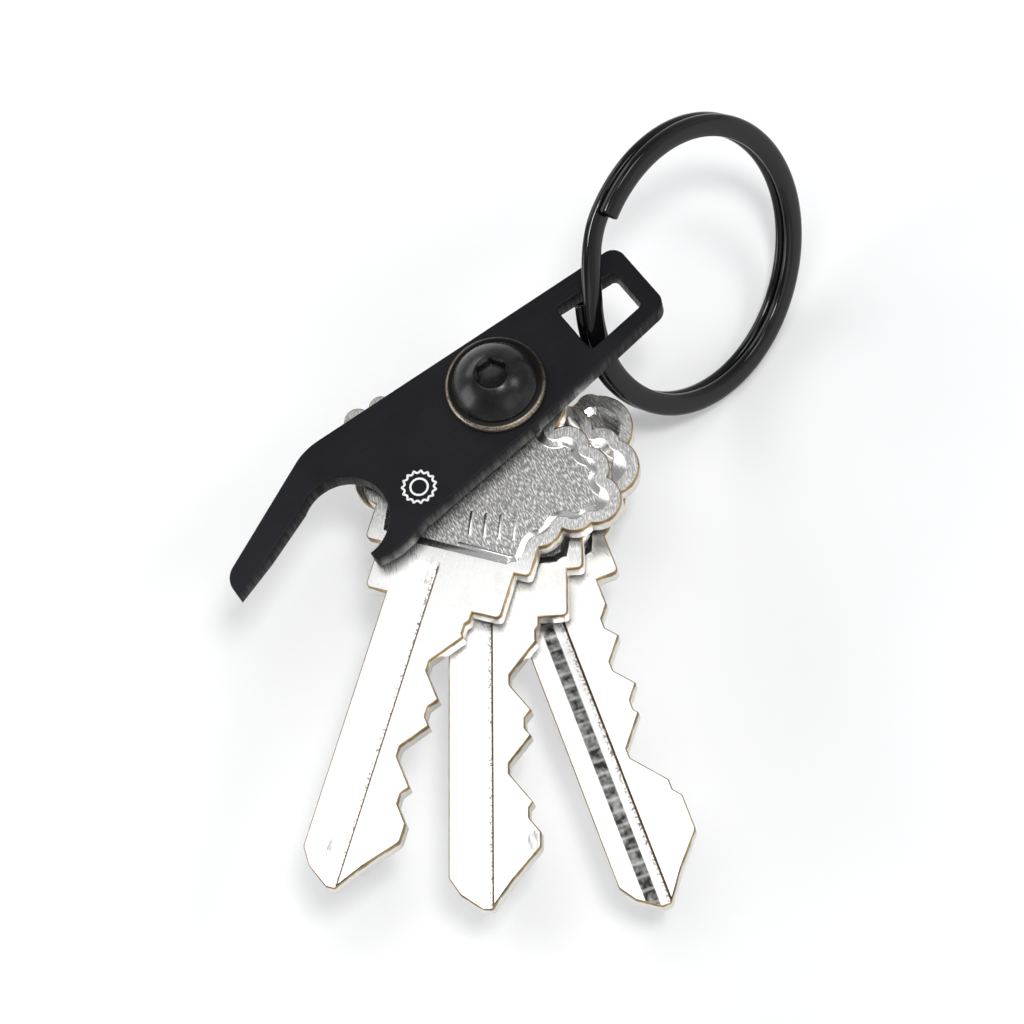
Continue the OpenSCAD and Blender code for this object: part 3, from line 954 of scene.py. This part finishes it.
def build_stamp(turn, material):
    """Generic raised marks in place of a stamped number: short bars over a long one."""
    bars = [((10.9, 0.9), (12.9, 1.3)), ((10.8, 2.2), (12.8, 2.6)), ((10.6, 3.5), (12.6, 3.9)),
            ((10.4, 4.8), (12.4, 5.2)), ((13.95, 0.7), (14.1, 5.45))]
    shell, floor = Shell(), KEY_T - PANEL_DEPTH - 0.02
    for (x0, y0), (x1, y1) in bars:
        a, b = np.array([x0, y0]), np.array([x1, y1])
        along = (b - a) / np.linalg.norm(b - a)
        heading = math.degrees(math.atan2(along[1], along[0]))
        half, high = 0.21, 0.17
        for grow, z0, next_grow, z1 in ((0.0, 0.0, 0.07, 0.7), (0.07, 0.7, 0.14, 1.0)):
            levels = []
            for g, z in ((grow, z0), (next_grow, z1)):
                loop = circle(*b, half - g, 16, heading - 90, heading + 90)
                loop += circle(*a, half - g, 16, heading + 90, heading + 270)
                levels.append([(x, y, floor + high * z) for x, y in loop])
            shell.band(*levels)
        shell.cap(levels[1])
    make_piece("stamp_marks", shell, "upper_key", None, [material], 50.0, turn=turn)


# ---------------------------------------------------------------- split ring
def build_ring(material):
    # The drawn wire is rounder than a strip: a superellipse within the wire's width and thickness
    profile, power = [], 2 / 2.5
    for i in range(36):
        c, s = math.cos(math.tau * i / 36), math.sin(math.tau * i / 36)
        x, y = abs(c) ** power * WIRE_W / 2, abs(s) ** power * WIRE_T / 2
        profile.append((math.copysign(x, c), math.copysign(y, s)))
    total, steps = 684.0, 684
    flat = 360.0 - STEP_ANGLE

    def level(sweep):
        s = min(1.0, max(0.0, (sweep - flat) / STEP_ANGLE))
        return TURN_PITCH * (s * s * (3 - 2 * s) - 0.5)

    # Each section is (sweep, how far the wire is drawn in), and both ends are rounded over
    end_round, rounding = 0.16, []
    for i in range(4):
        a = math.pi / 2 * i / 3
        ahead = math.degrees(end_round * (1 - math.cos(a)) / RING_MEAN_R)
        rounding.append((ahead, end_round * (1 - math.sin(a))))
    sections = rounding + [(total * k / steps, 0.0) for k in range(1, steps)]
    sections += [(total - ahead, shrink) for ahead, shrink in reversed(rounding)]
    shell, rings = Shell(), []
    for sweep, shrink in sections:
        angle = math.radians(STEP_AT + STEP_ANGLE / 2 + sweep)
        z = level(sweep)
        ring = []
        for px, py in profile:
            scale_x = (abs(px) - shrink) / max(abs(px), 1e-6) if abs(px) > shrink else 0.0
            scale_y = (abs(py) - shrink) / max(abs(py), 1e-6) if abs(py) > shrink else 0.0
            radial, axial = px * scale_x, py * scale_y
            out = RING_MEAN_R + radial
            ring.append((out * math.cos(angle), out * math.sin(angle), z + axial))
        rings.append(ring)
    for a, b in zip(rings, rings[1:]):
        shell.band(a, b)
    for ring in (rings[0], rings[-1]):
        shell.cap(ring)
    turn = (
        Matrix.Translation(RING_CENTRE)
        @ Matrix.Rotation(math.radians(RING_HEADING), 4, "Z")
        @ Matrix.Rotation(math.radians(RING_LEAN), 4, "Y")
    )
    make_piece("ring_wire", shell, "ring", "split_ring", [material], 50.0, 0.0005, turn)


# ---------------------------------------------------------------- build everything
steel_black = black_oxide("steel_black")
dome_black = black_oxide("dome_black", (0.010, 0.0095, 0.0095), (0.2, 0.3))
bare_steel = plain_steel()

build_plate([plate_face(), plate_wall()])
build_emblem(etched_white())
build_screw(dome_black)

washer_profile = turned_disc(2.15, WASHER_R, PLATE_TOP, WASHER_TOP, 0.34)
make_piece("front_washer_disc", lathe(washer_profile), "opener", "front_washer",
           [washer_steel()])
make_piece("rear_washer_disc", lathe(turned_disc(2.15, WASHER_R, NUT_TOP, SLEEVE_BOTTOM, 0.12)),
           "opener", "rear_washer", [steel_black])
make_piece("sleeve_tube", lathe(turned_disc(2.05, SLEEVE_R, SLEEVE_BOTTOM, PLATE_BOTTOM, 0.03)),
           "opener", "pivot_sleeve", [bare_steel])
for i in range(4):
    z1 = PLATE_BOTTOM - 2.5 * i
    make_piece(f"thrust_disc_{i + 1}", lathe(turned_disc(SLEEVE_R + 0.002, WASHER_R, z1 - 0.5, z1, 0.08)),
               "opener", f"thrust_washer_{i + 1}", [bare_steel])
build_nut(steel_black)
insert_profile = turned_disc(SCREW_R - 0.02, INSERT_R, INSERT_BOTTOM, INSERT_BOTTOM + INSERT_H, 0.1)
make_piece("insert_ring", lathe(insert_profile), "opener", "nylon_insert", [nylon()])

for key_name, streaks in (("key_upper", 80.0), ("key_middle", 70.0), ("key_lower", 95.0)):
    spec = KEYS[key_name]
    face = nickel(f"{key_name}_face", spec, spec["angle"] + 12, 0.1, (0.24, 0.38), face=True)
    slope = nickel(f"{key_name}_slope", spec, streaks, 0.3, (0.16, 0.28))
    panel_finish = nickel(f"{key_name}_panel", spec, streaks, 1.1, (0.30, 0.48), dull=0.95)
    wall = key_wall(f"{key_name}_wall", spec["z"] + KEY_T)
    placed = build_key(key_name, [face, wall, slope, panel_finish])
    if key_name == "key_upper":
        build_stamp(placed, slope)
build_ring(ring_gloss())


# ---------------------------------------------------------------- stage, light and camera
def stage_floor():
    n = Nodes("floor_white")
    mottle = n.noise(0.01, detail=2.0)
    n.set(
        Base_Color=n.mix(mottle, (0.90, 0.90, 0.90), (0.915, 0.915, 0.915)),
        Roughness=0.85,
        Specular_IOR_Level=0.1,
    )
    mesh = bpy.data.meshes.new("floor")
    side = 1.2
    corners = [(-side, -side, 0), (side, -side, 0), (side, side, 0), (-side, side, 0)]
    mesh.from_pydata(corners, [], [(0, 1, 2, 3)])
    mesh.materials.append(n.material)
    floor = bpy.data.objects.new("floor", mesh)
    bpy.context.scene.collection.objects.link(floor)


def soft_light(name, place, aim, size, power, colour=(1.0, 1.0, 1.0)):
    light = bpy.data.lights.new(name, "AREA")
    light.shape, (light.size, light.size_y) = "RECTANGLE", size
    light.energy, light.color = power, colour
    lamp = bpy.data.objects.new(name, light)
    lamp.location = Vector(place) * MM
    lamp.rotation_mode = "QUATERNION"
    lamp.rotation_quaternion = (Vector(aim) - Vector(place)).to_track_quat("-Z", "Y")
    bpy.context.scene.collection.objects.link(lamp)


stage_floor()
soft_light("overhead", (-54, 45, 420), (-54, 45, 0), (0.192, 0.21), 0.25)
soft_light("beside", (91, 20, 420), (91, 20, 0), (0.098, 0.16), 0.10)
soft_light("key", (30, -120, 420), (0, -10, 0), (0.07, 0.07), 0.60)
soft_light("front", (60, -330, 200), (0, -20, 10), (0.30, 0.20), 0.16)
soft_light("right", (260, -190, 330), (0, 0, 10), (0.12, 0.12), 0.28)
soft_light("left", (-310, 130, 110), (0, 0, 10), (0.20, 0.20), 0.44)
soft_light("back", (-60, 380, 200), (0, 0, 10), (0.30, 0.15), 0.44)

# The studio's walls are bright and its ceiling is dim
world = bpy.data.worlds.new("studio")
world.use_nodes = True
nodes, links = world.node_tree.nodes, world.node_tree.links
direction = nodes.new("ShaderNodeTexCoord").outputs["Generated"]
split = nodes.new("ShaderNodeSeparateXYZ")
fade = nodes.new("ShaderNodeMapRange")
fade.inputs["To Min"].default_value, fade.inputs["To Max"].default_value = 0.84, 0.12
links.new(direction, split.inputs[0])
links.new(split.outputs["Z"], fade.inputs["Value"])
links.new(fade.outputs["Result"], nodes["Background"].inputs["Strength"])
nodes["Background"].inputs["Color"].default_value = (0.96, 0.975, 1.0, 1.0)
bpy.context.scene.world = world
bpy.context.scene.view_settings.view_transform = "Standard"

CAMERA_EYE = (-32.1244, -100.6396, 246.0557)
CAMERA_RIGHT = (0.7941, -0.5906, -0.1435)
CAMERA_UP = (0.5984, 0.7184, 0.3548)
CAMERA_BACK = (-0.1064, -0.3676, 0.9239)
camera = bpy.data.cameras.new("camera")
camera.lens, camera.sensor_width = 100.195, 36.0
camera.clip_start, camera.clip_end = 0.01, 10.0
camera_object = bpy.data.objects.new("camera", camera)
axes = Matrix((CAMERA_RIGHT, CAMERA_UP, CAMERA_BACK)).transposed()
place = Matrix.Translation(Vector(CAMERA_EYE) * MM)
camera_object.matrix_world = place @ axes.to_quaternion().to_matrix().to_4x4()
bpy.context.scene.collection.objects.link(camera_object)
bpy.context.scene.camera = camera_object
